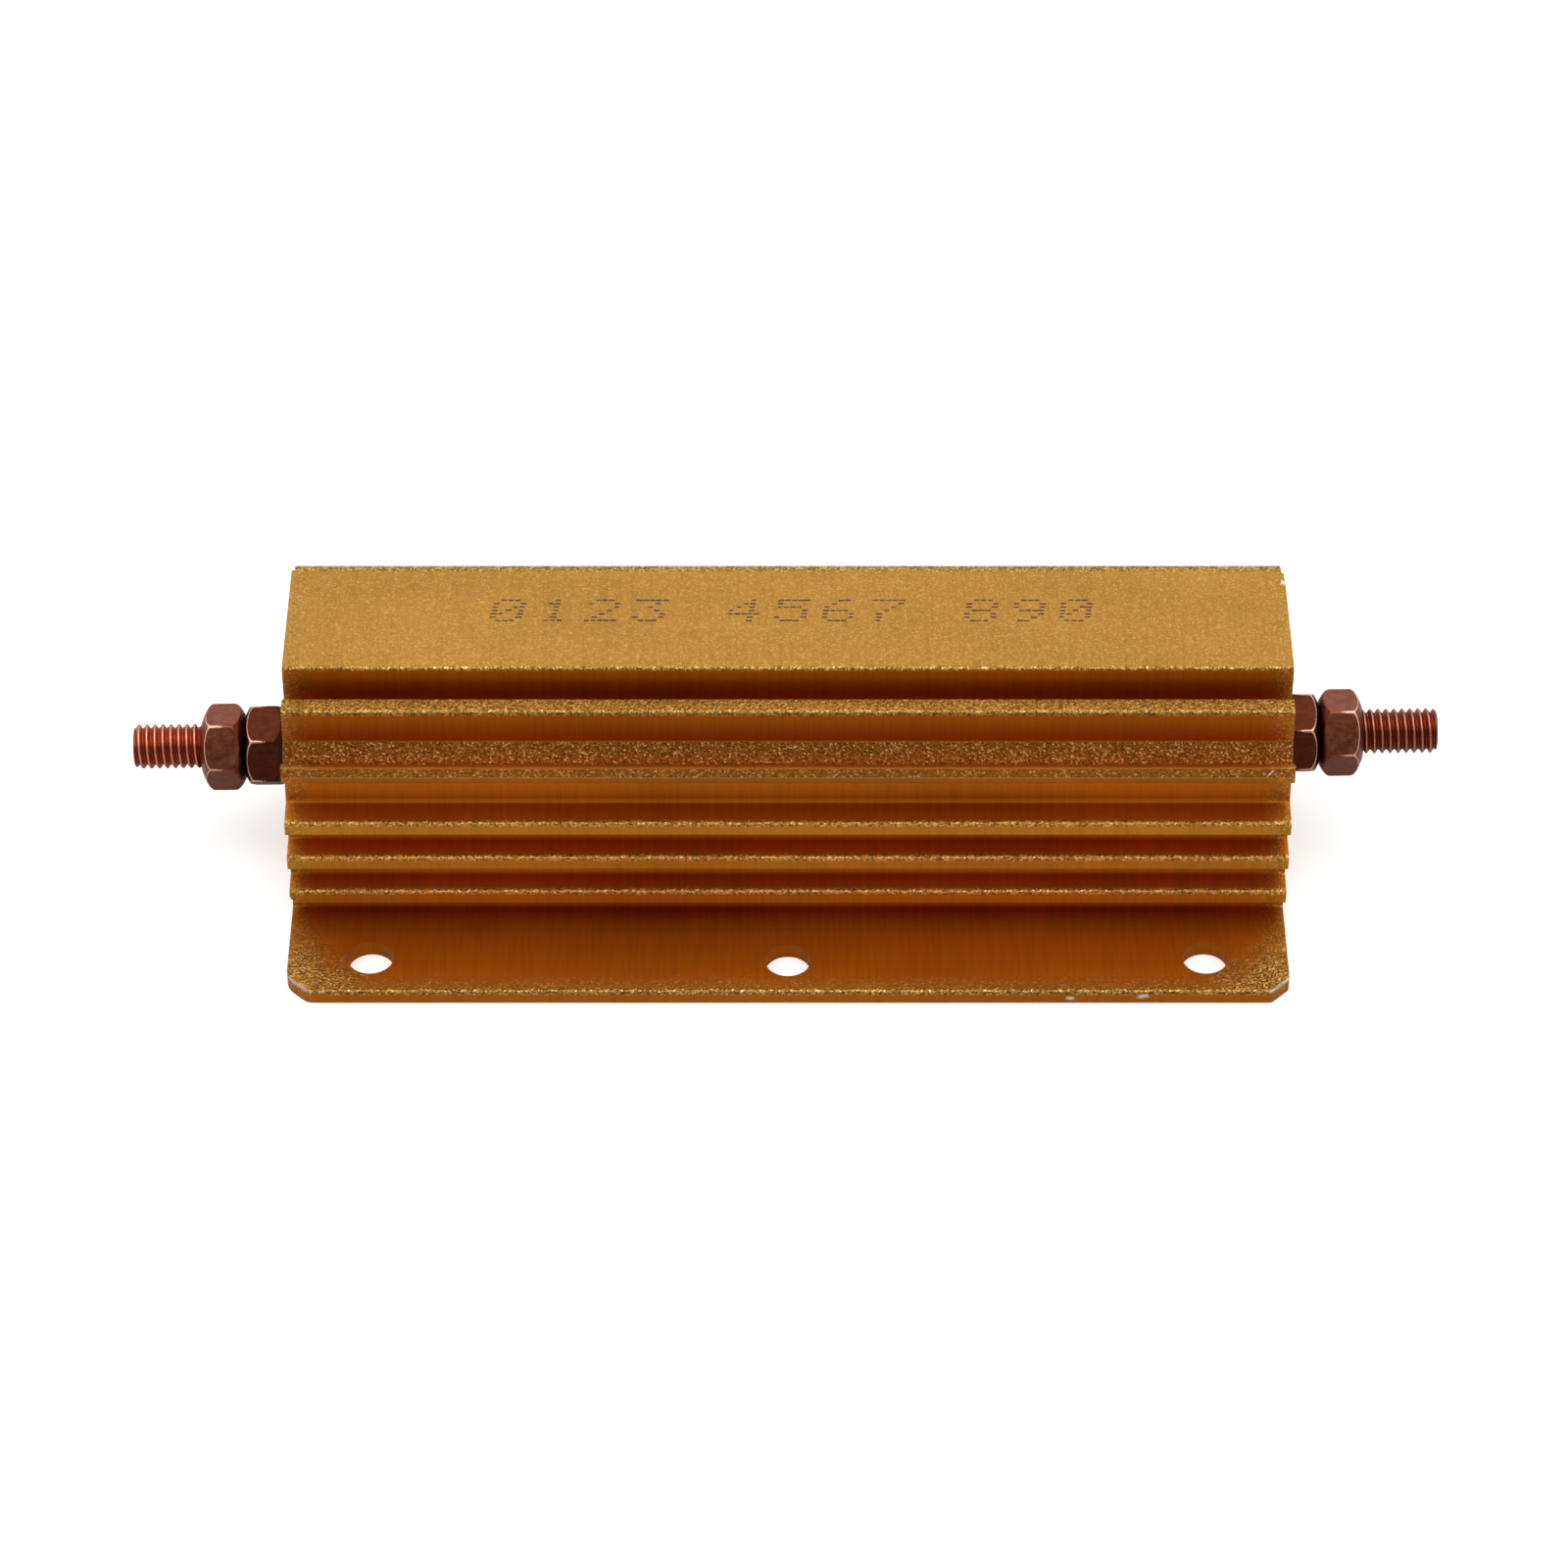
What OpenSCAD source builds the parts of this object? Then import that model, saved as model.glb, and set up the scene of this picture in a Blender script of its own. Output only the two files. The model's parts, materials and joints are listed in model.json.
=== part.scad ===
// Aluminium housed wirewound power resistor with a threaded stud at each end.
// X runs along the housing, Y across it and Z up. The origin is on the mounting face,
// under the middle of the housing.

/* [Housing] */
// Length of the extrusion between its two sawn ends
body_length = 110; // [94:1:120]
// Width across both mounting flanges
base_width = 57.2; // [54:0.2:70]
// Thickness of the mounting flanges
base_thick = 1.8; // [1.4:0.1:2.4]
// Depth of the cut across each left corner of the flanges
left_corner_cut = 2.45; // [1.8:0.05:3.4]
// Depth of the cut across each right corner
right_corner_cut = 2.15; // [1.8:0.05:3.4]
// Width across the side walls just above the flanges, at the bottom of the grooves
wall_width = 29.2; // [28.4:0.2:31]
// How far each side wall leans in between the flange and the upswept fin
wall_lean = 0.9; // [0.4:0.1:1.4]
// Thickness of the metal under the bore
floor_thick = 2.7; // [2:0.1:3.4]

/* [Side fins] */
// Width across the tips of the side fins
fin_width = 34.4; // [33:0.2:40]
// Number of straight fins on each side
fin_count = 3; // [2:1:3]
// Height of the lowest fin's upper edge
fin_first = 6.2; // [5.6:0.1:6.6]
// Spacing from one fin to the next
fin_pitch = 5; // [4.6:0.1:5.2]
// Thickness of a fin at its tip
fin_thick = 1.8; // [1.4:0.1:2.2]
// How much thicker a fin is at its root, on each face
fin_taper = 0.35; // [0.1:0.05:0.5]
// Where the underside of the upswept fin leaves the wall, above the top straight fin
lip_root_rise = 3.4; // [3:0.1:3.8]
// Lower edge of the upswept fin's tip, above the top straight fin
lip_rise = 5.9; // [5.4:0.1:6.4]
// Height of the upswept fin's tip
lip_thick = 1.9; // [1.5:0.1:2.3]
// Width of the flat on top of the upswept fin
lip_flat = 0.8; // [0.5:0.1:1.2]
// How far the upper part of the upswept fin's tip slopes back
lip_slope = 0.2; // [0.1:0.05:0.6]

/* [Top fins] */
// Width across the feet of the sloping shoulders below the upright fins
shoulder_width = 28; // [27:0.1:28.6]
// Height of the sloping shoulder
shoulder_height = 2; // [1.4:0.1:2.6]
// Width across the outer faces of the two upright fins
upright_width = 25.4; // [25:0.1:26]
// Thickness of an upright fin
upright_thick = 2.4; // [1.8:0.1:2.5]
// Height of the upright fins above the top straight fin
upright_rise = 12.2; // [11:0.1:13]
// Width of the flat marking plateau
plateau_width = 17.1; // [15:0.1:18]
// How far the plateau stands above the upright fins
plateau_rise = 2.7; // [1.5:0.1:3.5]
// Depth of the groove between the plateau and an upright fin, from the fin's top
top_groove = 4.2; // [3:0.1:4.8]

/* [Mounting holes] */
// Diameter of the six holes in the flanges
hole_diameter = 5; // [4:0.1:5.4]
// From an end of the housing to the centres of the nearest holes
hole_end_margin = 9.1; // [7:0.1:14]
// From a flange's edge to the centres of the corner holes
hole_edge_margin = 5.4; // [4.6:0.1:6.2]
// From a flange's edge to the centre of its middle hole
middle_edge_margin = 5; // [4.6:0.1:6.2]

/* [Wound core] */
// Diameter of the ceramic tube
core_diameter = 16; // [12:0.5:16.5]
// Diameter of the hole through the ceramic tube
core_hole = 7; // [4:0.5:8]
// How far the core lies out of level in the bore, in degrees
core_tilt = 0.94; // [0:0.02:1]
// Thickness of the cement between the winding and the bore
potting_wall = 1.64; // [1.3:0.02:2]
// Wall of the metal caps pressed on the ceramic tube
cap_wall = 0.8; // [0.6:0.1:1]
// How far a cap reaches along the ceramic tube
cap_reach = 6.2; // [4:0.2:9]
// Diameter of the resistance wire
wire_diameter = 1.2; // [0.6:0.1:1.4]
// Number of turns of resistance wire
wire_turns = 20; // [8:1:28]

/* [Terminals] */
// Diameter of the stud over its thread
stud_diameter = 5; // [4.6:0.1:5.4]
// Diameter of the stud's head, which is brazed to the cap
head_diameter = 10; // [8:0.5:13]
// Thickness of the stud's head
head_thick = 2.7; // [2:0.1:4]
// Thickness of the ceramic washer in each mouth of the bore
washer_thick = 4.5; // [3:0.1:6]
// Width of a nut across its flats
nut_flats = 8.5; // [8.2:0.1:10]
// Thickness of a nut
nut_thick = 4.7; // [3.6:0.1:5.4]
// Gap between the left washer and the left inner nut
left_nut_gap = 1.37; // [0:0.01:3]
// Gap between the right washer and the right inner nut
right_nut_gap = 0; // [0:0.1:3]
// Thread that stands out past the left outer nut
left_thread_reach = 7.62; // [4:0.02:20]
// Thread that stands out past the right outer nut
right_thread_reach = 8.32; // [4:0.02:20]

// Turn of the left inner nut about its stud, in degrees
left_inner_turn = -15.3; // [-30:0.1:30]
// Turn of the left outer nut
left_outer_turn = 21.4; // [-30:0.1:30]
// Turn of the right inner nut
right_inner_turn = -12.9; // [-30:0.1:30]
// Turn of the right outer nut
right_outer_turn = 21.4; // [-30:0.1:30]

/* [Hidden] */

gold = "#c0873c";
copper = "#a85a3c";
dark_copper = "#6e3a2c";
bore_facets = 96;
stud_facets = 48;
wire_facets = 24;

// Edge radii of the extrusion, and the steps that draw each rounded corner
edge_radius = 0.3;
tip_radius = 0.35;
root_radius = 0.5;
groove_radius = 0.8;
arc_steps = 4;
left_round = 2.4;       // where the cut corners of the flanges meet their sides
right_round = 0.8;

// Chamfers of the nuts and of the stud's tip
dome_steps = 5;
outer_dome = 1.35;      // depth of the rounded chamfer on the side away from the housing
outer_face = 3;         // and the radius at which that side's flat ring ends
inner_dome = 1.25;
inner_face = 3.7;
tip_chamfer = 0.35;
countersink = 0.5;      // at both ends of a nut's thread

// Engaged threads meet on a plain cylinder, this far below the stud's surface
thread_engage = 0.26;
engage_reach = 0.2;     // and the stud's own surface starts this far past the outer nut

// Fits between the pieces inside the bore
wire_clearance = 0.1;   // wire to ceramic, so the wire's inside never cuts the tube
potting_clearance = 0.05;
washer_inset = 0.4;     // the washers' outer faces lie this far inside the sawn ends
washer_clearance = 0.3; // washer to bore, once the core's lean is taken off
stud_clearance = 0.1;   // stud to the washer's hole
potting_recess = 0.6;   // potting stops this far behind each washer's outer face

// Heights of the extrusion's features
top_fin = fin_first + fin_pitch * (fin_count - 1);
lip_root = top_fin + lip_root_rise;
lip_low = top_fin + lip_rise;
lip_high = lip_low + lip_thick;
shoulder_foot = lip_low + 0.2;
lip_groove = lip_low - 0.9;        // bottom of the small groove behind the upswept fin
lip_groove_y = shoulder_width / 2 + 0.6;
lip_break = lip_low + 0.4 * lip_thick;  // where the tip starts to slope back
upright_top = top_fin + upright_rise;
plateau_top = upright_top + plateau_rise;

// The core's own lengths, from the washers inwards
washer_face = body_length / 2 - washer_inset;
head_face = washer_face - washer_thick;
cap_face = head_face - head_thick;
core_half = cap_face - cap_wall;
cap_rim = core_half - cap_reach;
wire_radius = wire_diameter / 2;
wire_span = 2 * (cap_rim - wire_radius);
wire_pitch = wire_span / wire_turns;
coil_radius = core_diameter / 2 + wire_clearance + wire_radius;
coil_lean = atan(wire_pitch / (4 * coil_radius));
coil_outer = coil_radius / cos(coil_lean) + wire_radius;
bore_diameter = 2 * (coil_outer + potting_wall);
bore_height = floor_thick + bore_diameter / 2;
core_skew = washer_face * tan(core_tilt);
washer_diameter = bore_diameter - 2 * (core_skew + washer_clearance);

// Points that round one corner [y, z, radius] between its neighbours
function unit(v) = v / norm(v);
function corner(before, at, after) =
    let(p = [at[0], at[1]],
        a = unit([before[0], before[1]] - p),
        b = unit([after[0], after[1]] - p),
        half = acos(a * b) / 2,
        r = min(at[2], 0.45 * tan(half) * min(norm([before[0], before[1]] - p),
                                              norm([after[0], after[1]] - p))),
        centre = p + unit(a + b) * r / sin(half),
        start = p + a * r / tan(half),
        finish = p + b * r / tan(half),
        from = atan2(start[1] - centre[1], start[0] - centre[0]),
        turn = atan2(finish[1] - centre[1], finish[0] - centre[0]) - from,
        sweep = turn > 180 ? turn - 360 : turn < -180 ? turn + 360 : turn)
    r < 0.01 ? [p] : [for (k = [0:arc_steps])
        let(t = from + sweep * k / arc_steps) centre + r * [cos(t), sin(t)]];
function rounded(c) = [for (i = [0:len(c) - 1])
    each corner(c[(i + len(c) - 1) % len(c)], c[i], c[(i + 1) % len(c)])];
function mirrored(c) = [for (i = [len(c) - 1:-1:0]) [-c[i][0], c[i][1], c[i][2]]];

// The side wall at a height: it leans in from the flange to the upswept fin
function wall_at(z) = wall_width / 2 - wall_lean * (z - base_thick) / (lip_root - base_thick);

// One straight fin, from its lower root round the tip to its upper root
function straight_fin(high) =
    let(low = high - fin_thick)
    [[wall_at(low - fin_taper), low - fin_taper, root_radius], [fin_width / 2, low, tip_radius],
     [fin_width / 2, high, tip_radius], [wall_at(high + fin_taper), high + fin_taper, root_radius]];

// Right half of the extrusion's outline, from the mounting face up to the plateau
half_outline = concat(
    [[base_width / 2, 0, edge_radius], [base_width / 2, base_thick, edge_radius],
     [wall_at(base_thick), base_thick, root_radius]],
    [for (i = [0:fin_count - 1]) each straight_fin(fin_first + i * fin_pitch)],
    // upswept fin, with a flat lip on top and a small groove behind it
    [[wall_at(lip_root), lip_root, root_radius], [fin_width / 2, lip_low, edge_radius],
     [fin_width / 2, lip_break, edge_radius], [fin_width / 2 - lip_slope, lip_high, edge_radius],
     [fin_width / 2 - lip_slope - lip_flat, lip_high, edge_radius],
     [lip_groove_y, lip_groove, edge_radius]],
    // sloping shoulder, then the upright fin
    [[shoulder_width / 2, shoulder_foot, edge_radius],
     [upright_width / 2, shoulder_foot + shoulder_height, tip_radius],
     [upright_width / 2, upright_top, tip_radius],
     [upright_width / 2 - upright_thick, upright_top, tip_radius],
     [upright_width / 2 - upright_thick, upright_top - top_groove, groove_radius],
     [plateau_width / 2, upright_top - top_groove, groove_radius],
     [plateau_width / 2, plateau_top, edge_radius]]);

// Plan of the housing: the flange corners are cut off and rounded, the left ones more
plan = let(x = body_length / 2, y = base_width / 2, left = left_corner_cut,
           right = right_corner_cut)
    [[x, y - right, right_round], [x - right, y, right_round],
     [left - x, y, left_round], [-x, y - left, left_round],
     [-x, left - y, left_round], [left - x, -y, left_round],
     [x - right, -y, right_round], [x, right - y, right_round]];

module flange_hole(x, y) {
    translate([x, y, -1]) cylinder(d = hole_diameter, h = base_thick + 2, $fn = stud_facets);
}

// Finned extrusion, sawn to length, with its flanges drilled and their corners cut
module housing() {
    hole_x = body_length / 2 - hole_end_margin;
    corner_y = base_width / 2 - hole_edge_margin;
    middle_y = base_width / 2 - middle_edge_margin;
    color(gold) difference() {
        intersection() {
            rotate([90, 0, 90]) translate([0, 0, -body_length / 2])
                linear_extrude(body_length)
                    polygon(rounded(concat(half_outline, mirrored(half_outline))));
            translate([0, 0, -1]) linear_extrude(plateau_top + 2)
                polygon(rounded(plan));
        }
        translate([-body_length / 2 - 1, 0, bore_height]) rotate([0, 90, 0])
            cylinder(d = bore_diameter, h = body_length + 2, $fn = bore_facets);
        for (side = [-1, 1]) {
            for (end = [-1, 1]) flange_hole(end * hole_x, side * corner_y);
            flange_hole(0, side * middle_y);
        }
        chips();
    }
}

// Chips knocked off the lowest fin's left end and off the plateau's far right corner
module chips() {
    translate([-body_length / 2, -fin_width / 2, fin_first - fin_thick])
        rotate([0, 28, 0]) cube([0.8, 1.6, 1.8], center = true);
    translate([body_length / 2, plateau_width / 2, plateau_top])
        rotate([0, 0, 11]) cube([0.8, 3.4, 1.2], center = true);
}

// Places what belongs to the core: its axis lies along X, slightly out of level
module on_core() {
    translate([0, 0, bore_height]) rotate([0, -core_tilt, 0]) children();
}

// A turned piece on the core's axis, drawn from [distance along the axis, radius] points
// for the right end; the left end takes the same piece facing the other way
module turned(points, end = 1, facets = stud_facets) {
    on_core() rotate([0, end * 90, 0])
        rotate_extrude($fn = facets) polygon([for (p = points) [p[1], p[0]]]);
}

// Cement that fills the bore round the wound core and stops just short of each end
module potting() {
    reach = washer_face - potting_recess;
    envelope = max(coil_outer, core_diameter / 2 + cap_wall) + potting_clearance;
    color("#cfc9bb") difference() {
        translate([-reach, 0, bore_height]) rotate([0, 90, 0])
            cylinder(d = bore_diameter, h = 2 * reach, $fn = bore_facets);
        on_core() rotate([0, 90, 0]) {
            translate([0, 0, -cap_face]) cylinder(r = envelope, h = 2 * cap_face, $fn = bore_facets);
            translate([0, 0, -head_face - 0.01])
                cylinder(d = head_diameter, h = 2 * head_face + 0.02, $fn = stud_facets);
            for (end = [-1, 1]) translate([0, 0, end * (head_face + washer_thick)])
                cylinder(d = washer_diameter, h = 2 * washer_thick, center = true, $fn = bore_facets);
        }
    }
}

// Ceramic tube that carries the winding
module ceramic_core() {
    color("#efe9dc") turned([[-core_half, core_hole / 2], [-core_half, core_diameter / 2],
                             [core_half, core_diameter / 2], [core_half, core_hole / 2]]);
}

// One half turn of wire: half a ring that leans by half its rise, so that the next one,
// which leans the other way, carries on from its end in the same direction
module half_turn(index) {
    odd = index % 2;
    translate([0, 0, (index + 0.5) * wire_pitch / 2 - wire_span / 2])
        rotate([0, odd == 0 ? coil_lean : -coil_lean, 0]) rotate([0, 0, odd * 180])
            rotate_extrude(angle = 180, $fn = stud_facets)
                translate([coil_radius / cos(coil_lean), 0]) circle(r = wire_radius, $fn = wire_facets);
}

// Single layer of resistance wire; its ends meet the rims of the two caps
module resistance_wire() {
    color("#8d8b86") on_core() rotate([0, 90, 0])
        for (i = [0:2 * wire_turns - 1]) half_turn(i);
}

// Metal cup pressed over one end of the ceramic tube
module cap(end) {
    outer = core_diameter / 2 + cap_wall;
    color("#b9b4a6") turned([[cap_rim, core_diameter / 2], [cap_rim, outer], [cap_face, outer],
                             [cap_face, 0], [core_half, 0], [core_half, core_diameter / 2]], end);
}

// Where the nuts and the thread end, out from the washer's face
function nut_start(end) = washer_face + (end < 0 ? left_nut_gap : right_nut_gap);
function stud_tip(end) =
    nut_start(end) + 2 * nut_thick + (end < 0 ? left_thread_reach : right_thread_reach);

// Terminal stud with a round head brazed to the cap and a chamfered tip
module stud(end) {
    r = stud_diameter / 2;
    engaged = r - thread_engage;
    start = nut_start(end);
    finish = start + 2 * nut_thick + engage_reach;
    tip = stud_tip(end);
    color(copper) turned([[cap_face, 0], [cap_face, head_diameter / 2],
                          [head_face, head_diameter / 2], [head_face, r],
                          [start, r], [start, engaged], [finish, engaged], [finish, r],
                          [tip - tip_chamfer, r], [tip, r - tip_chamfer], [tip, 0]], end);
}

// Ceramic washer that keeps the stud off the housing and closes the bore's mouth
module washer(end) {
    hole = stud_diameter / 2 + stud_clearance;
    color("#e6dfcf") turned([[head_face, hole], [head_face, washer_diameter / 2],
                             [washer_face, washer_diameter / 2], [washer_face, hole]],
                            end, bore_facets);
}

// Points of a nut's rounded chamfer, as [depth, radius], from its face to its corners
function dome(face, depth, corners) =
    [for (k = [0:dome_steps]) let(s = k / dome_steps)
        [depth * s, face + (corners - face) * s * (2 - s)]];

// Hexagon nut, chamfered on both faces, turned about the stud by an angle.
// place is 0 for the inner nut and 1 for the outer one.
module nut(end, place, turn) {
    corners = nut_flats / cos(30) / 2;
    outside = corners + 0.02;
    low = nut_start(end) + place * nut_thick;
    high = low + nut_thick;
    bore = stud_diameter / 2 - thread_engage;
    inner = dome(inner_face, inner_dome, outside);
    outer = dome(outer_face, outer_dome, outside);
    color(dark_copper) difference() {
        intersection() {
            turned(concat([[low, 0]], [for (p = inner) [low + p[0], p[1]]],
                          [for (k = [dome_steps:-1:0]) [high - outer[k][0], outer[k][1]]],
                          [[high, 0]]), end);
            on_core() rotate([turn, 0, 0]) rotate([0, end * 90, 0])
                translate([0, 0, low]) cylinder(r = corners, h = nut_thick, $fn = 6);
        }
        turned([[low - 1, 0], [low - 1, bore + countersink + 1], [low + countersink, bore],
                [high - countersink, bore], [high + 1, bore + countersink + 1], [high + 1, 0]], end);
    }
}

housing();
potting();
ceramic_core();
resistance_wire();
cap(-1);  // left_cap
cap(1);  // right_cap
stud(-1);  // left_stud
stud(1);  // right_stud
washer(-1);  // left_washer
washer(1);  // right_washer
nut(-1, 0, left_inner_turn);  // left_inner_nut
nut(-1, 1, left_outer_turn);  // left_outer_nut
nut(1, 0, right_inner_turn);  // right_inner_nut
nut(1, 1, right_outer_turn);  // right_outer_nut
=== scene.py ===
import json
import math
import random

import bpy
import numpy as np
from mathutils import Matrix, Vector

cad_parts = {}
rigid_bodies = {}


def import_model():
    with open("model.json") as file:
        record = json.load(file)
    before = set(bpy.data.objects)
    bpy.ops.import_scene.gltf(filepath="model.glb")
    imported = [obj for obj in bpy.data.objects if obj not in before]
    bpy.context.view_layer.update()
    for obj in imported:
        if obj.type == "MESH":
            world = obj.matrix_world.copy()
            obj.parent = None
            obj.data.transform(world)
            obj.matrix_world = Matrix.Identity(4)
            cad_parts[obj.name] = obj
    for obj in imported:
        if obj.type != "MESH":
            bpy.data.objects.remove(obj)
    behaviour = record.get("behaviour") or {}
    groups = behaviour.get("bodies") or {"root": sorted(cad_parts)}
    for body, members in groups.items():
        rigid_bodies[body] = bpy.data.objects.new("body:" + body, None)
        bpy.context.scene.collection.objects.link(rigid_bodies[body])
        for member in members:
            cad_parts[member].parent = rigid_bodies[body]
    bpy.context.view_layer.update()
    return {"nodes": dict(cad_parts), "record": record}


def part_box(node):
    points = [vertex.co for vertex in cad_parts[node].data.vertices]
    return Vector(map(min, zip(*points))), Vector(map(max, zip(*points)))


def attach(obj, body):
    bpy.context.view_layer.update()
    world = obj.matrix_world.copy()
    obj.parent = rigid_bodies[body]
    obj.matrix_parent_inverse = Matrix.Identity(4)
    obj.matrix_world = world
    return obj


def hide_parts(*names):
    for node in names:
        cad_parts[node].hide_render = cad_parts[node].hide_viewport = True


for thing in list(bpy.data.objects):
    bpy.data.objects.remove(thing)
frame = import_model()
nodes = frame["nodes"]
MM = 0.001

# ---------------------------------------------------------------- housing
# Aluminium extrusion, sawn to length, drilled and gold anodised. Its outer faces have the fine
# sparkle of an etched surface, its grooves stay smooth, and its sawn ends show the saw's lines.
# Shade in the grooves and slopes, highlights on the edges, reflections on the fin tips and glints in
# the sparkle are painted into its colour.
body_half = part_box("housing")[1].x / MM
body_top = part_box("housing")[1].z / MM
flange_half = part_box("housing")[1].y / MM
fin_edges = (6.2, 11.2, 16.2)
fin_reach = 17.2
gold = (0.50, 0.250, 0.045)
gold_plateau = (0.482, 0.241, 0.043)
gold_smooth = (0.65, 0.200, 0.013)
gold_deep_shade = (0.56, 0.160, 0.009)
gold_lip_shade = (0.27, 0.078, 0.008)
gold_slope_shade = (0.41, 0.150, 0.019)
gold_edge_highlight = (0.72, 0.335, 0.060)
gold_tip_reflection = (0.62, 0.275, 0.034)
gold_glint = (0.97, 0.66, 0.28)
bare_metal_and_highlight = (0.90, 0.76, 0.56)
left_cut, right_cut = 2.45, 2.15


class Look:
    """A material and short calls that add nodes to it; each returns an output socket."""

    def __init__(self, name, metallic=0.0):
        self.material = bpy.data.materials.new(name)
        self.material.use_nodes = True
        self.tree = self.material.node_tree
        self.surface = self.tree.nodes["Principled BSDF"]
        self.surface.inputs["Metallic"].default_value = metallic
        place = self.tree.nodes.new("ShaderNodeTexCoord").outputs["Object"]
        self.place = self.vector("SCALE", place, scale=1 / MM)
        parts = self.tree.nodes.new("ShaderNodeSeparateXYZ")
        self.tree.links.new(self.place, parts.inputs[0])
        self.x, self.y, self.z = parts.outputs

    def put(self, socket, value):
        if isinstance(value, bpy.types.NodeSocket):
            self.tree.links.new(value, socket)
        elif hasattr(socket.default_value, "__len__") and not hasattr(value, "__len__"):
            socket.default_value = [value] * len(socket.default_value)
        elif hasattr(socket.default_value, "__len__") and len(socket.default_value) == 4:
            socket.default_value = (*value[:3], 1.0)
        else:
            socket.default_value = value

    def set(self, name, value):
        self.put(self.surface.inputs[name], value)

    def math(self, operation, *values, clamp=False):
        node = self.tree.nodes.new("ShaderNodeMath")
        node.operation = operation
        node.use_clamp = clamp
        for socket, value in zip(node.inputs, values):
            self.put(socket, value)
        return node.outputs[0]

    def vector(self, operation, a, b=None, scale=None):
        node = self.tree.nodes.new("ShaderNodeVectorMath")
        node.operation = operation
        self.put(node.inputs[0], a)
        if b is not None:
            self.put(node.inputs[1], b)
        if scale is not None:
            self.put(node.inputs["Scale"], scale)
        return node.outputs["Value" if operation in ("LENGTH", "DOT_PRODUCT") else "Vector"]

    def ramp(self, value, low, high, a=0.0, b=1.0):
        """a where value is at most low, b where it is at least high, smooth between."""
        node = self.tree.nodes.new("ShaderNodeMapRange")
        node.interpolation_type = "SMOOTHSTEP"
        for socket, given in zip(node.inputs, (value, low, high, a, b)):
            self.put(socket, given)
        return node.outputs[0]

    def band(self, value, low, high, soft):
        """1 between low and high, 0 outside, with soft sides."""
        return self.math("MULTIPLY", self.ramp(value, low - soft, low),
                         self.ramp(value, high, high + soft, 1.0, 0.0))

    def mix(self, factor, a, b, kind="MIX"):
        node = self.tree.nodes.new("ShaderNodeMix")
        node.data_type = "RGBA"
        node.blend_type = kind
        node.clamp_factor = True
        self.put(node.inputs["Factor"], factor)
        self.put(node.inputs[6], a)
        self.put(node.inputs[7], b)
        return node.outputs[2]

    def most(self, *values):
        result = values[0]
        for value in values[1:]:
            result = self.math("MAXIMUM", result, value)
        return result

    def stretched(self, along):
        return self.vector("MULTIPLY", self.place, along)

    def noise(self, scale, place=None, detail=2.0, rough=0.5):
        node = self.tree.nodes.new("ShaderNodeTexNoise")
        self.put(node.inputs["Vector"], place or self.place)
        node.inputs["Scale"].default_value = scale
        node.inputs["Detail"].default_value = detail
        node.inputs["Roughness"].default_value = rough
        return node.outputs["Fac"]

    def cells(self, scale, place=None, feature="F1"):
        """Voronoi cells: the distance, and three random numbers of each cell."""
        node = self.tree.nodes.new("ShaderNodeTexVoronoi")
        node.feature = feature
        self.put(node.inputs["Vector"], place or self.place)
        node.inputs["Scale"].default_value = scale
        parts = self.tree.nodes.new("ShaderNodeSeparateColor")
        self.tree.links.new(node.outputs["Color"], parts.inputs[0])
        return node.outputs["Distance"], list(parts.outputs)

    def bump(self, height, strength, distance, under=None):
        node = self.tree.nodes.new("ShaderNodeBump")
        self.put(node.inputs["Height"], height)
        self.put(node.inputs["Strength"], strength)
        node.inputs["Distance"].default_value = distance
        if under is not None:
            self.put(node.inputs["Normal"], under)
        return node.outputs[0]


look = Look("anodised_gold", metallic=1.0)
side = look.math("ABSOLUTE", look.y)
from_end = look.math("SUBTRACT", body_half, look.math("ABSOLUTE", look.x))
wander = look.math("MULTIPLY", look.math("SUBTRACT", look.noise(0.45), 0.5), 2.0)

# how strongly each place sparkles, as bumps and as painted glints in the colour
tips = look.math("MULTIPLY", look.band(look.z, 27.9, 29.0, 0.15), look.band(side, 10.0, 13.0, 0.1))
shoulders = look.math("MULTIPLY", look.band(look.z, 21.6, 24.1, 0.2),
                      look.band(side, 12.2, 14.4, 0.15))
lips = look.math("MULTIPLY", look.band(look.z, 22.95, 23.85, 0.1),
                 look.ramp(side, 16.6, 16.85))
fins = look.most(*[look.band(look.z, edge - 0.38, edge + 0.2, 0.12) for edge in fin_edges])
fins = look.math("MULTIPLY", fins, look.ramp(side, fin_reach - 0.7, fin_reach - 0.4))
plateau = look.ramp(look.z, body_top - 0.35, body_top - 0.25)
plateau_edge = look.math("MULTIPLY", plateau, look.ramp(side, 8.0, 8.3))
ends = look.ramp(look.math("ADD", from_end, look.math("MULTIPLY", wander, 1.2)), 1.2, 3.6, 1.0, 0.0)
flange = look.band(look.z, 1.35, 2.6, 0.1)
corner = look.math("ADD", from_end, look.math("SUBTRACT", flange_half, side))
corner = look.ramp(look.math("ADD", corner, look.math("MULTIPLY", wander, 4.0)), 5.0, 14.0, 1.0, 0.0)
front = look.ramp(side, flange_half - 0.65, flange_half - 0.4)
front_wide = look.ramp(look.math("ADD", side, look.math("MULTIPLY", wander, 1.0)),
                       flange_half - 3.2, flange_half - 0.3, 0.0, 0.45)
flanges = look.math("MULTIPLY", flange, look.most(corner, front, front_wide))
sparkle = look.most(tips, look.math("MULTIPLY", shoulders, 0.8), look.math("MULTIPLY", lips, 0.6),
                    fins, look.math("MULTIPLY", plateau, 0.22), plateau_edge,
                    look.math("MULTIPLY", ends, 0.3), flanges)

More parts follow.
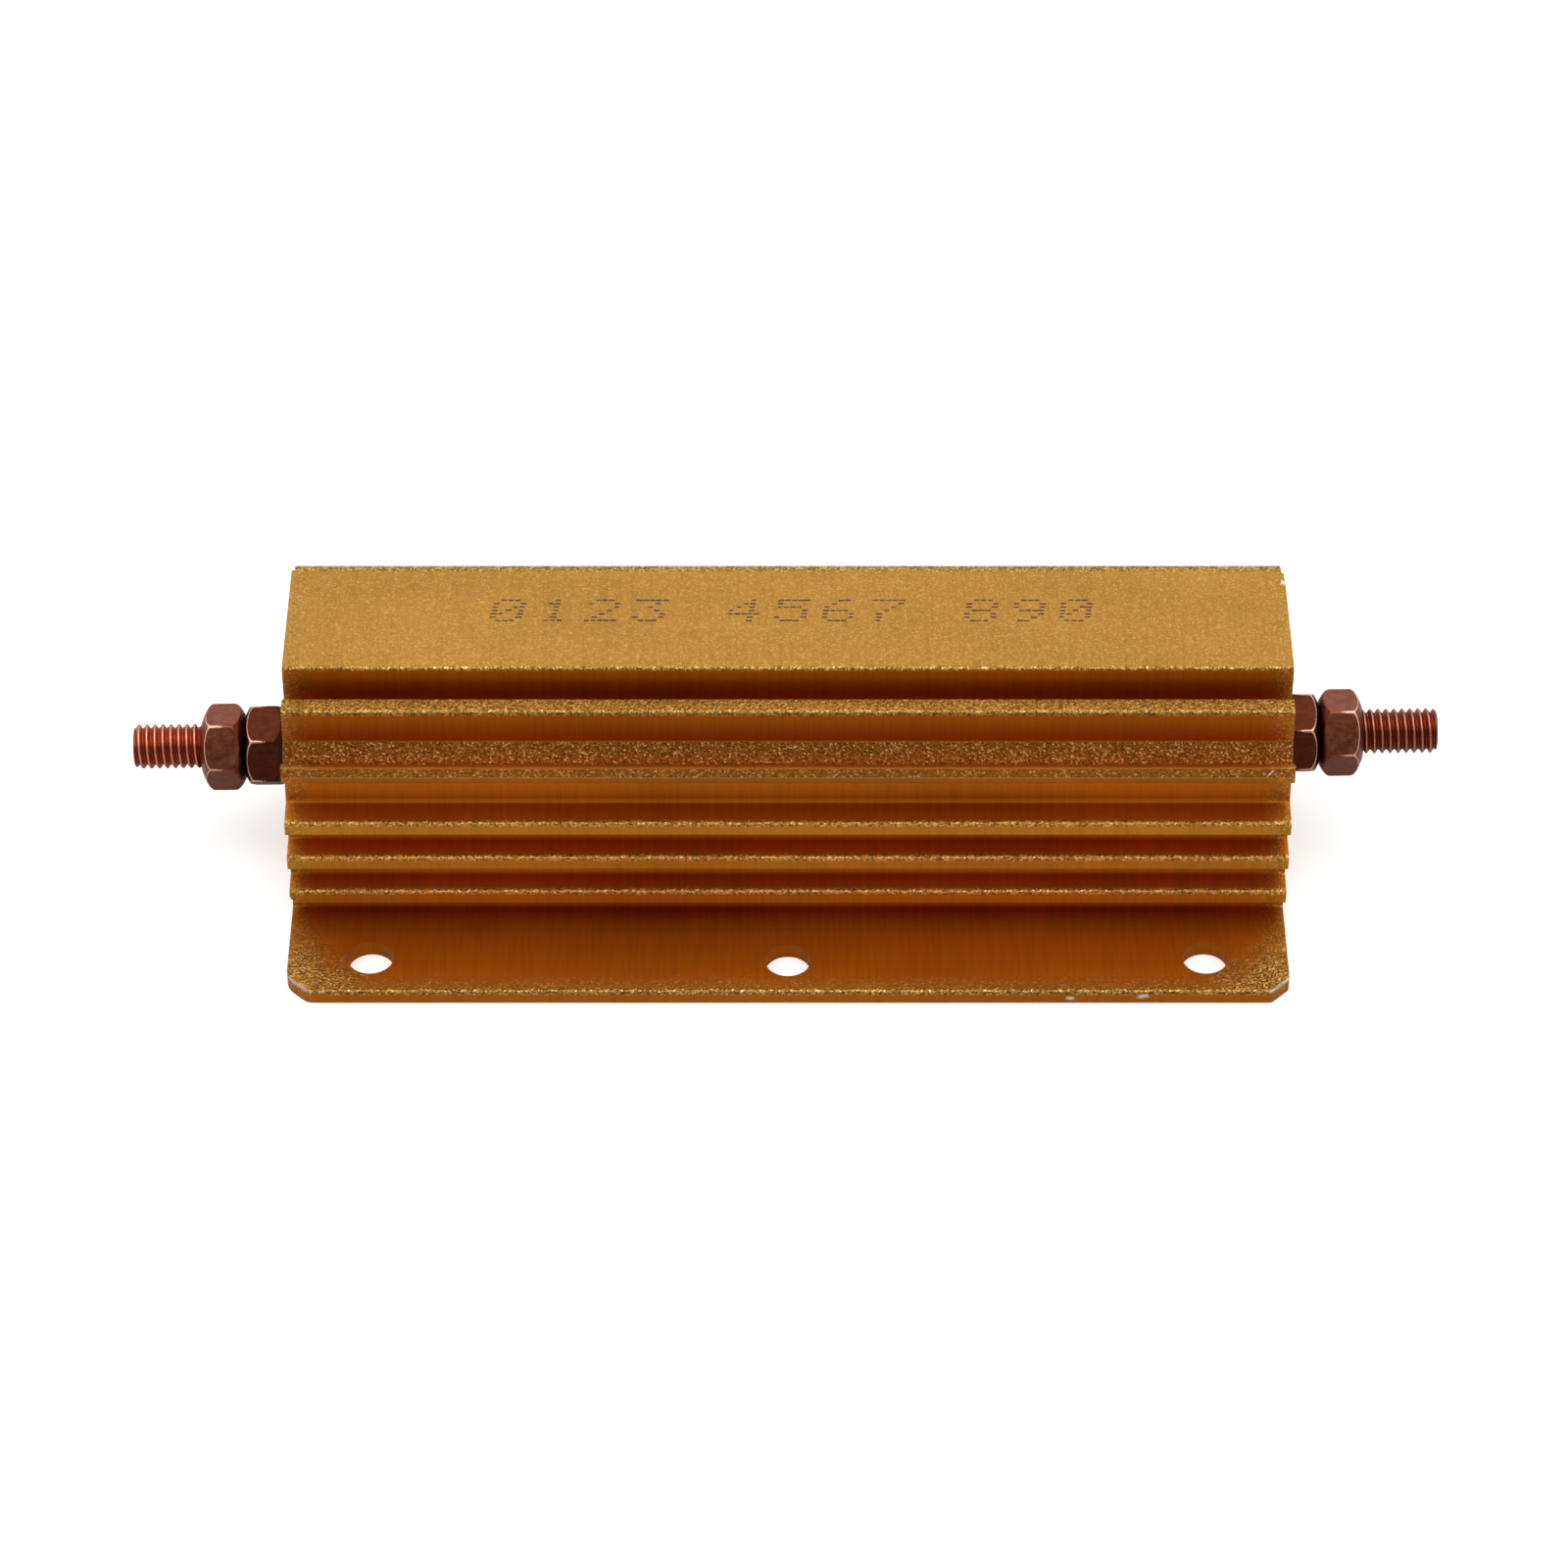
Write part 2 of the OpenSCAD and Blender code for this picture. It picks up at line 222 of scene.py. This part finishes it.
grain, chance = look.cells(5.4)
# painted glints on a few grains of the plateau
fleck_glint = look.math("MULTIPLY", look.ramp(look.cells(4.6)[1][0], 0.92, 1.0),
                  look.math("MULTIPLY", plateau, 0.15))
tone = look.noise(0.12, look.stretched((0.35, 1.0, 1.0)), 3.0)
streaks = look.noise(1.0, look.stretched((2.2, 0.15, 0.08)), 3.0)
drawn = look.noise(1.0, look.stretched((0.02, 5.0, 5.0)), 2.0)
sawn = look.noise(1.0, look.stretched((0.5, 0.4, 9.0)), 3.0)
blasted = look.most(plateau, sparkle)

# a colour for each kind of face, redder where the surface is smooth, with painted shade where it lies
# deep
deep = look.most(look.ramp(look.z, 2.6, 3.6, 1.0, 0.0), look.ramp(look.z, 23.9, 24.6))
# painted shade on the top of the lower lip, under the shoulder above it
lip_top_shade = look.math("MULTIPLY", look.band(look.z, 23.9, 24.1, 0.08), look.ramp(side, 15.6, 15.8))
colour = look.mix(deep, gold_smooth, gold_deep_shade)
colour = look.mix(lip_top_shade, colour, gold_lip_shade)
colour = look.mix(sparkle, colour, gold)
# painted shade on the sloping shoulders and lips
colour = look.mix(look.most(shoulders, lips), colour, gold_slope_shade)
# painted highlight along the rounded fin edges
colour = look.mix(fins, colour, gold_edge_highlight)
colour = look.mix(plateau, colour, gold_plateau)
# painted reflection on the front faces of the lower fins
tip_face_reflection = look.math("MULTIPLY", look.ramp(side, 16.8, 17.0), look.band(look.z, 3.5, 17.0, 0.5))
tip_face_reflection = look.math("MULTIPLY", tip_face_reflection, look.ramp(fins, 0.0, 0.5, 1.0, 0.0))
colour = look.mix(tip_face_reflection, colour, gold_tip_reflection)
# painted shade on the smooth undercut wall
undercut_shade = look.band(look.z, 19.8, 22.7, 0.15)
colour = look.mix(look.math("MULTIPLY", undercut_shade, look.ramp(sparkle, 0.0, 0.5, 1.0, 0.0)),
                  colour, gold_slope_shade)

# slow cloudiness and faint streaks, then painted glitter: each grain of the sparkle painted lighter
# or darker, a few as bright glints
uneven = look.math("MULTIPLY", look.ramp(tone, 0.3, 0.7, 0.94, 1.06),
                   look.math("ADD", look.ramp(streaks, 0.35, 0.7, 0.03, -0.07),
                             look.ramp(plateau, 0.0, 1.0, 1.0, 1.02)))
shade = look.math("ADD", 0.3, look.math("MULTIPLY", chance[0], 1.1))
shade = look.math("ADD", look.math("MULTIPLY", look.math("SUBTRACT", shade, 1.0), sparkle), 1.0)
colour = look.mix(1.0, colour, look.math("MULTIPLY", shade, uneven), "MULTIPLY")
bright = look.math("MULTIPLY", look.ramp(chance[0], 0.78, 1.0, 0.0, 0.75), sparkle)
bright = look.math("MULTIPLY", bright, look.ramp(tips, 0.0, 1.0, 1.0, 0.5))
colour = look.mix(look.most(bright, fleck_glint), colour, gold_glint)


def scar(at, reach, along, width):
    """1 on a bare streak about at, running along a direction, ragged at its rim."""
    away = look.vector("SUBTRACT", look.place, at)
    run = look.vector("DOT_PRODUCT", away, Vector(along).normalized())
    total = look.vector("LENGTH", away)
    off = look.math("SQRT", look.math("MAXIMUM", look.math(
        "SUBTRACT", look.math("MULTIPLY", total, total), look.math("MULTIPLY", run, run)), 0.0))
    far = look.most(look.math("DIVIDE", off, width), look.math("DIVIDE", look.math(
        "ABSOLUTE", run), reach))
    far = look.math("ADD", far, look.math("MULTIPLY", ragged, 1.2))
    return look.ramp(far, 0.95, 1.6, 1.0, 0.0)


# bare metal where it was knocked, and a painted highlight along the top edge of the cut flange
# corners
ragged = look.noise(3.2, detail=3.0)
cut = look.ramp(look.x, -1.0, 1.0, left_cut, right_cut)
cut = look.math("SUBTRACT", look.math("ADD", from_end, look.math("SUBTRACT", flange_half, side)), cut)
cut = look.math("MULTIPLY", look.ramp(cut, 0.1, 0.45, 1.0, 0.0), look.band(look.z, 1.5, 2.0, 0.1))
scars_and_edge_highlight = look.most(scar((52.3, -17.1, 23.45), 0.75, (0.8, 0.0, 1.0), 0.11),
                  scar((54.8, 6.2, body_top), 0.5, (0.3, 1.0, 0.0), 0.45),
                  scar((38.9, -flange_half, 1.1), 0.8, (1.0, 0.0, 0.15), 0.35),
                  scar((30.9, -flange_half, 0.8), 0.6, (1.0, 0.0, 0.0), 0.3),
                  look.math("MULTIPLY", cut, 0.6))
colour = look.mix(scars_and_edge_highlight, colour, bare_metal_and_highlight)
look.set("Base Color", colour)
look.set("Roughness", look.ramp(blasted, 0.0, 1.0, 0.48, 0.42))
pits = look.bump(grain, look.math("MULTIPLY", sparkle, 0.6, clamp=True), 0.10 * MM)
pits = look.bump(drawn, 0.04, 0.02 * MM, pits)
pits = look.bump(sawn, look.ramp(from_end, 0.02, 0.06, 0.5, 0.0), 0.05 * MM, pits)
look.set("Normal", pits)
nodes["housing"].data.materials[0] = look.material

# ---------------------------------------------------------------- marking
# A row of plain digits in dark ink, jetted on the plateau as short dashes in seven slanted rows.
digit_rows = {
    "0": (14, 17, 19, 21, 25, 17, 14), "1": (4, 12, 4, 4, 4, 4, 14), "2": (14, 17, 1, 2, 4, 8, 31),
    "3": (31, 2, 4, 2, 1, 17, 14), "4": (2, 6, 10, 18, 31, 2, 2), "5": (31, 16, 30, 1, 1, 17, 14),
    "6": (6, 8, 16, 30, 17, 17, 14), "7": (31, 1, 2, 4, 8, 8, 8), "8": (14, 17, 17, 14, 17, 17, 14),
    "9": (14, 17, 17, 15, 1, 2, 12),
}
digits_shown = "0123 4567 890"
ink_start, ink_cell, ink_column = -32.2, 5.2, 0.72
ink_row, ink_middle, ink_slant = 0.58, 1.35, 0.16
ink_dash = (0.66, 0.26)
ink_lift = 0.003 * MM   # keeps the ink clear of the plateau

rng = random.Random(11)
spots, faces = [], []
for place, digit in enumerate(digits_shown):
    for row, bits in enumerate(digit_rows.get(digit, ())):
        for column in range(5):
            if not bits >> (4 - column) & 1:
                continue
            up = (3 - row) * ink_row
            x = ink_start + place * ink_cell + column * ink_column + ink_slant * up
            y = ink_middle + up
            x, y = x + rng.uniform(-0.04, 0.04), y + rng.uniform(-0.03, 0.03)
            wide = ink_dash[0] * rng.uniform(0.85, 1.15) / 2
            tall = ink_dash[1] * rng.uniform(0.8, 1.15) / 2
            ring = [(x + wide * math.copysign(abs(math.cos(t)) ** 0.6, math.cos(t)),
                     y + tall * math.copysign(abs(math.sin(t)) ** 0.6, math.sin(t)))
                    for t in [math.tau * k / 14 for k in range(14)]]
            faces.append(list(range(len(spots), len(spots) + 14)))
            spots += [(px * MM, py * MM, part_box("housing")[1].z + ink_lift) for px, py in ring]
mesh = bpy.data.meshes.new("plain_digits")
mesh.from_pydata(spots, [], faces)
marking = bpy.data.objects.new("plain_digits", mesh)
bpy.context.scene.collection.objects.link(marking)
look = Look("marking_ink")
look.set("Base Color", look.mix(look.noise(3.0), (0.022, 0.006, 0.004), (0.065, 0.020, 0.012)))
look.set("Roughness", 0.55)
look.set("Alpha", look.ramp(look.noise(6.0), 0.2, 0.5, 0.82, 1.0))
mesh.materials.append(look.material)
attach(marking, "root")

# ---------------------------------------------------------------- studs
# Copper plated studs with a rolled thread, each brazed to its cap inside the housing. The thread
# is cut here; under the nuts the stud is the plain cylinder on which the two threads meet.
terminal = {"left": None, "right": None}
for mount in frame["record"]["mounts"]:
    for end in terminal:
        if mount["name"] == end + "_terminal":
            terminal[end] = mount
thread_pitch, thread_depth = 0.89, 0.42
thread_phase = {"left": 0.61, "right": 0.86}
rings_per_turn = 14
stud_radius, engaged_radius = 2.5, 2.24
head_radius, head_thick, washer_thick, washer_inset = 5.0, 2.7, 4.5, 0.4
nut_thick, engage_reach, tip_chamfer = 4.7, 0.2, 0.35
run_in = 0.25           # the cut thread starts this far inside the outer nut
around = 72             # points in each ring of a stud


def core_frame(end):
    """The core's middle, its outward direction at this end, and two directions across it."""
    mount = terminal[end]
    along = Vector(mount["axis"]).normalized()
    at = Vector(mount["pos_m"])
    middle = at - along * (at.x / along.x)
    across = Vector((0, 1, 0))
    return middle, along, across, along.cross(across)


def turned_mesh(name, end, rings, radius):
    """A closed turned surface: rings of [distance along, ...], radius(ring, angle, end) in mm."""
    middle, along, across, other = core_frame(end)
    turn = np.arange(around) * math.tau / around
    rows, crests = [], []
    for ring in rings:
        r = np.array([radius(ring, t, end) for t in turn])
        crests.append(np.clip((r - stud_radius + thread_depth) / thread_depth, 0, 1))
        spot = np.array(middle) + np.outer(np.full(around, ring[0] * MM), np.array(along))
        spot += np.outer(r * np.cos(turn) * MM, np.array(across))
        spot += np.outer(r * np.sin(turn) * MM, np.array(other))
        rows.append(spot)
    verts = np.concatenate(rows)
    faces = [(i * around + k, i * around + (k + 1) % around,
              (i + 1) * around + (k + 1) % around, (i + 1) * around + k)
             for i in range(len(rings) - 1) for k in range(around)]
    faces += [tuple(reversed(range(around))),
              tuple(range((len(rings) - 1) * around, len(rings) * around))]
    mesh = bpy.data.meshes.new(name)
    mesh.from_pydata(verts.tolist(), [], faces)
    crest = mesh.attributes.new("crest", "FLOAT", "POINT")
    crest.data.foreach_set("value", np.concatenate(crests).astype(np.float32))
    mesh.shade_smooth()
    piece = bpy.data.objects.new(name, mesh)
    bpy.context.scene.collection.objects.link(piece)
    return piece


def stud_rings(end):
    mount = terminal[end]
    start = (Vector(mount["pos_m"]) - core_frame(end)[0]).length / MM - mount["dims"]["length_mm"] / 2
    tip = start + mount["dims"]["length_mm"] + tip_chamfer
    nuts_end = start - engage_reach
    nuts_start = nuts_end - 2 * nut_thick
    face = body_half - washer_inset
    head_end = face - washer_thick
    rings = [(head_end - head_thick, "plain", head_radius), (head_end, "plain", head_radius),
             (head_end, "plain", stud_radius), (face, "plain", stud_radius)]
    step = thread_pitch / rings_per_turn
    at = face
    while at < nuts_start - 0.02:
        rings.append((at, "thread", stud_radius))
        at += step
    rings += [(nuts_start, "thread", stud_radius), (nuts_start, "plain", engaged_radius),
              (nuts_end - run_in, "plain", engaged_radius)]
    at = nuts_end - run_in
    while at < tip - 0.001:
        limit = min(stud_radius, stud_radius - (at - (tip - tip_chamfer)))
        rings.append((at, "thread", limit))
        at += step
    rings += [(tip, "thread", stud_radius - tip_chamfer), (tip, "plain", 0.8), (tip, "plain", 0.01)]
    return rings


def stud_radius_at(ring, angle, end):
    at, kind, limit = ring
    if kind == "plain":
        return limit
    phase = (at / thread_pitch - angle / math.tau - thread_phase[end]) % 1.0
    slope = min(1.0, max(0.0, (abs(phase - 0.5) * 2 - 0.12) / 0.74))
    slope = slope * slope * (3 - 2 * slope) * 0.35 + slope * 0.65
    return min(stud_radius - thread_depth * (1 - slope), limit)


look = Look("stud_copper", metallic=1.0)
crest = look.tree.nodes.new("ShaderNodeAttribute")
crest.attribute_name = "crest"
crest = crest.outputs["Fac"]
tint = look.noise(0.9, detail=4.0)
wear = look.noise(5.0, detail=3.0)
flank = look.mix(look.ramp(tint, 0.35, 0.7), (0.42, 0.092, 0.040), (0.53, 0.140, 0.068))
# painted shade in the thread roots, then a painted highlight along the crests
colour = look.mix(look.ramp(crest, 0.0, 0.35, 0.75, 0.0), flank, (0.24, 0.042, 0.014))
crest_highlight = look.math("ADD", crest, look.math("MULTIPLY", look.math("SUBTRACT", wear, 0.5), 0.3))
colour = look.mix(look.ramp(crest_highlight, 0.85, 1.0, 0.0, 0.85), colour, (0.80, 0.38, 0.26))
colour = look.mix(look.ramp(wear, 0.55, 0.8, 0.0, 0.5), colour, (0.14, 0.024, 0.010))
# the right stud is painted darker than the left
darker_to_right = look.ramp(look.x, -1.0, 1.0, 1.0, 0.68)
look.set("Base Color", look.mix(1.0, colour, darker_to_right, "MULTIPLY"))
look.set("Roughness", look.ramp(wear, 0.3, 0.7, 0.28, 0.44))
look.set("Normal", look.bump(wear, 0.25, 0.03 * MM))
stud_look = look.material
for end in ("left", "right"):
    stud = turned_mesh(end + "_threaded_stud", end, stud_rings(end), stud_radius_at)
    stud.data.materials.append(stud_look)
    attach(stud, "root")
    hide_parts(end + "_stud")

# ---------------------------------------------------------------- nuts
# Four hexagon nuts with a rounded chamfer on both faces, plated with copper. The inner pair is
# painted darker than the outer pair, and a painted highlight runs along the chamfer edges, brightest
# outward.
nut_flats = 8.5
outer_dome, outer_face = 1.35, 3.0
inner_dome, inner_face = 1.25, 3.7
countersink, nut_around = 0.5, 240
nut_turns = {"left": (-15.3, 21.4), "right": (-12.9, 21.4)}
nut_drops = {"left": (0.08, 0.20), "right": (0.12, 0.12)}


def nut_mesh(name, end, place):
    """The thread was tapped a little off the hexagon's middle, so the hexagon hangs low."""
    middle, along, across, other = core_frame(end)
    mount = terminal[end]
    start = (Vector(mount["pos_m"]) - middle).length / MM - mount["dims"]["length_mm"] / 2
    low = start - engage_reach - (2 - place) * nut_thick
    drop = np.array((0, 0, -nut_drops[end][place] * MM))
    turn = math.radians(nut_turns[end][place])
    phase = math.pi / 2 + (turn if end == "right" else -turn)
    angle = np.arange(nut_around) * math.tau / nut_around
    from_corner = np.abs((angle - phase + math.pi / 6) % (math.pi / 3) - math.pi / 6)
    flat = sum(np.maximum(0, np.cos(angle - phase - math.pi / 6 - k * math.pi / 3)) ** 90
               for k in range(6)) ** (-1 / 90) * nut_flats / 2
    corners = nut_flats / math.sqrt(3)
    steps = [0.04 * k * (1 + 0.06 * k) for k in range(17)] + [1.45, 1.8]
    steps += [nut_thick - s for s in reversed(steps)]
    bore = engaged_radius + 0.005
    mouth = bore + countersink
    none = np.zeros(nut_around)
    rows, edge_highlights = [], []

    def add(at, r, edge_highlight, centre=0):
        spot = np.array(middle) + np.outer(np.full(nut_around, (low + at) * MM), np.array(along))
        spot += np.outer(r * np.cos(angle) * MM, np.array(across))
        spot += np.outer(r * np.sin(angle) * MM, np.array(other))
        rows.append(spot + centre * drop)
        edge_highlights.append(edge_highlight)

    def dome(deep, face, depth):
        s = min(1.0, deep / depth)
        return face + (corners - face) * s * (2 - s)

    add(countersink, none + bore, none)
    add(0, none + mouth, none + 0.2)
    add(0, none + inner_face - 0.1, none + 0.1, 1)
    for at in steps:
        cone = min(dome(at, inner_face, inner_dome), dome(nut_thick - at, outer_face, outer_dome))
        r = -np.log(np.exp(-26 * flat) + np.exp(-26 * cone)) / 26
        # painted highlight where the flats meet the chamfer, and at the corners
        edge_highlight = np.exp(-((flat - cone) / 0.10) ** 2) + 0.2 * np.exp(-(from_corner / 0.03) ** 2)
        add(at, r, np.minimum(edge_highlight, 1) * (1.0 if at > nut_thick / 2 else 0.35), 1)
    add(nut_thick, none + outer_face - 0.1, none + 0.2, 1)
    add(nut_thick, none + mouth, none + 0.3)
    add(nut_thick - countersink, none + bore, none)
    n, count = nut_around, len(rows)
    faces = [(i * n + k, i * n + (k + 1) % n, ((i + 1) % count) * n + (k + 1) % n,
              ((i + 1) % count) * n + k) for i in range(count) for k in range(n)]
    mesh = bpy.data.meshes.new(name)
    mesh.from_pydata(np.concatenate(rows).tolist(), [], faces)
    tarnish = np.full(count * n, 1.0 - place)
    for called, values in (("rubbed", np.concatenate(edge_highlights)), ("tarnish", tarnish)):
        stored = mesh.attributes.new(called, "FLOAT", "POINT")
        stored.data.foreach_set("value", values.astype(np.float32))
    mesh.shade_smooth()
    piece = bpy.data.objects.new(name, mesh)
    bpy.context.scene.collection.objects.link(piece)
    return piece


look = Look("nut_copper", metallic=1.0)
rubbed, tarnish = [look.tree.nodes.new("ShaderNodeAttribute") for k in range(2)]
rubbed.attribute_name, tarnish.attribute_name = "rubbed", "tarnish"
rubbed, tarnish = rubbed.outputs["Fac"], tarnish.outputs["Fac"]
patch = look.noise(1.1, detail=4.0, rough=0.6)
speck = look.noise(6.0, detail=3.0)
turned = look.noise(1.0, look.stretched((0.4, 6.0, 6.0)), 3.0)
colour = look.mix(look.ramp(patch, 0.35, 0.7), (0.22, 0.060, 0.031), (0.30, 0.092, 0.050))
colour = look.mix(look.ramp(speck, 0.5, 0.72, 0.0, 0.5), colour, (0.07, 0.02, 0.010))
colour = look.mix(look.ramp(turned, 0.5, 0.75, 0.0, 0.25), colour, (0.42, 0.16, 0.10))
# the inner pair is painted darker
colour = look.mix(tarnish, colour, look.mix(1.0, colour, (0.34, 0.29, 0.25), "MULTIPLY"))
# painted highlight along the chamfer edges
edge = look.math("MULTIPLY", look.ramp(look.math("ADD", rubbed, look.math("MULTIPLY", look.math(
    "SUBTRACT", speck, 0.5), 0.7)), 0.4, 0.75), 0.95)
colour = look.mix(edge, colour, (0.88, 0.46, 0.34))
look.set("Base Color", colour)
look.set("Roughness", look.ramp(patch, 0.3, 0.7, 0.30, 0.42))
look.set("Normal", look.bump(turned, 0.12, 0.04 * MM, look.bump(speck, 0.3, 0.03 * MM)))
nut_look = look.material
for end in ("left", "right"):
    for place, which in enumerate(("inner", "outer")):
        nut = nut_mesh(end + "_" + which + "_hex_nut", end, place)
        nut.data.materials.append(nut_look)
        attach(nut, "root")
        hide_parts(end + "_" + which + "_nut")

# ---------------------------------------------------------------- washers and ceramic tube
# Unglazed pressed ceramic: a washer in each mouth of the bore and the tube that carries the wire.
look = Look("white_ceramic")
cloud = look.noise(0.6, detail=4.0)
spots = look.cells(3.0)[1]
colour = look.mix(cloud, (0.70, 0.66, 0.57), (0.82, 0.79, 0.71))
colour = look.mix(look.ramp(spots[0], 0.93, 1.0, 0.0, 0.35), colour, (0.35, 0.28, 0.20))
look.set("Base Color", colour)
look.set("Roughness", 0.75)
look.set("Normal", look.bump(look.noise(5.0, detail=4.0), 0.25, 0.05 * MM))
for name in ("left_washer", "right_washer", "ceramic_core"):
    nodes[name].data.materials[0] = look.material

# ---------------------------------------------------------------- potting
# Gritty grey-white cement poured round the wound core and baked hard.
look = Look("cement")
grit, chance = look.cells(2.4)
colour = look.mix(look.noise(0.5, detail=5.0), (0.50, 0.47, 0.41), (0.66, 0.63, 0.56))
colour = look.mix(look.ramp(chance[0], 0.8, 1.0, 0.0, 0.5), colour, (0.30, 0.27, 0.23))
look.set("Base Color", colour)
look.set("Roughness", 0.9)
look.set("Normal", look.bump(look.math("ADD", grit, look.noise(4.0, detail=5.0)), 0.5, 0.15 * MM))
nodes["potting"].data.materials[0] = look.material

# ---------------------------------------------------------------- caps and winding
# Drawn metal cups pressed on the tube's ends, and the drawn resistance wire between them.
look = Look("cap_metal", metallic=1.0)
lines = look.noise(1.0, look.stretched((6.0, 0.5, 0.5)), 3.0)
look.set("Base Color", look.mix(lines, (0.50, 0.48, 0.44), (0.70, 0.68, 0.64)))
look.set("Roughness", look.ramp(lines, 0.3, 0.7, 0.32, 0.45))
look.set("Normal", look.bump(lines, 0.2, 0.03 * MM))
for name in ("left_cap", "right_cap"):
    nodes[name].data.materials[0] = look.material
look = Look("wire_metal", metallic=1.0)
scale = look.noise(2.5, detail=4.0)
look.set("Base Color", look.mix(scale, (0.28, 0.27, 0.25), (0.52, 0.50, 0.47)))
look.set("Roughness", look.ramp(scale, 0.3, 0.7, 0.35, 0.5))
look.set("Normal", look.bump(scale, 0.2, 0.03 * MM))
nodes["resistance_wire"].data.materials[0] = look.material

# ---------------------------------------------------------------- stage
# A plain white floor under even white light, with a large soft lamp overhead.
mesh = bpy.data.meshes.new("floor")
mesh.from_pydata([(-4, -4, 0), (4, -4, 0), (4, 4, 0), (-4, 4, 0)], [], [(0, 1, 2, 3)])
floor = bpy.data.objects.new("floor", mesh)
bpy.context.scene.collection.objects.link(floor)
look = Look("floor_white")
seen = look.tree.nodes.new("ShaderNodeLightPath").outputs["Is Camera Ray"]
look.set("Base Color", look.mix(seen, (0.55, 0.55, 0.55), (0.95, 0.95, 0.95)))
look.set("Roughness", 0.9)
look.set("Specular IOR Level", 0.0)
look.set("Emission Color", (1, 1, 1))
look.set("Emission Strength", look.math("MULTIPLY", seen, 0.35))
mesh.materials.append(look.material)

world = bpy.data.worlds.new("studio")
bpy.context.scene.world = world
world.use_nodes = True
tree = world.node_tree
toward = tree.nodes.new("ShaderNodeTexCoord").outputs["Generated"]
aim = tree.nodes.new("ShaderNodeVectorMath")
aim.operation = "DOT_PRODUCT"
aim.inputs[1].default_value = (0, -0.88, 0.47)
tree.links.new(toward, aim.inputs[0])
shade = tree.nodes.new("ShaderNodeMapRange")
shade.interpolation_type = "SMOOTHSTEP"
for socket, value in zip(shade.inputs[1:], (0.55, 0.92, 1.0, 0.18)):
    socket.default_value = value
tree.links.new(aim.outputs["Value"], shade.inputs[0])
direct = tree.nodes.new("ShaderNodeLightPath")
bright = tree.nodes.new("ShaderNodeMath")
bright.operation = "MAXIMUM"
tree.links.new(shade.outputs[0], bright.inputs[0])
tree.links.new(direct.outputs["Is Camera Ray"], bright.inputs[1])
tree.links.new(bright.outputs[0], tree.nodes["Background"].inputs["Strength"])
tree.nodes["Background"].inputs["Color"].default_value = (1, 1, 1, 1)


def lamp(name, at, aim, size, power):
    light = bpy.data.lights.new(name, "AREA")
    light.shape = "RECTANGLE"
    light.size, light.size_y = size
    light.energy = power
    thing = bpy.data.objects.new(name, light)
    thing.location = at
    thing.rotation_euler = (Vector(aim) - Vector(at)).to_track_quat("-Z", "Y").to_euler()
    bpy.context.scene.collection.objects.link(thing)


lamp("overhead", (0.0, -0.15, 0.9), (0, 0, 0.01), (1.6, 1.2), 6.0)

camera = bpy.data.cameras.new("camera")
camera.lens = 131.70
camera.sensor_width = 36
camera.clip_start = 0.01
view = bpy.data.objects.new("camera", camera)
view.location = (-0.00043, -0.48558, 0.43185)
view.rotation_euler = (math.radians(48.812), 0, 0)
bpy.context.scene.collection.objects.link(view)
bpy.context.scene.camera = view
bpy.context.scene.view_settings.view_transform = "Standard"
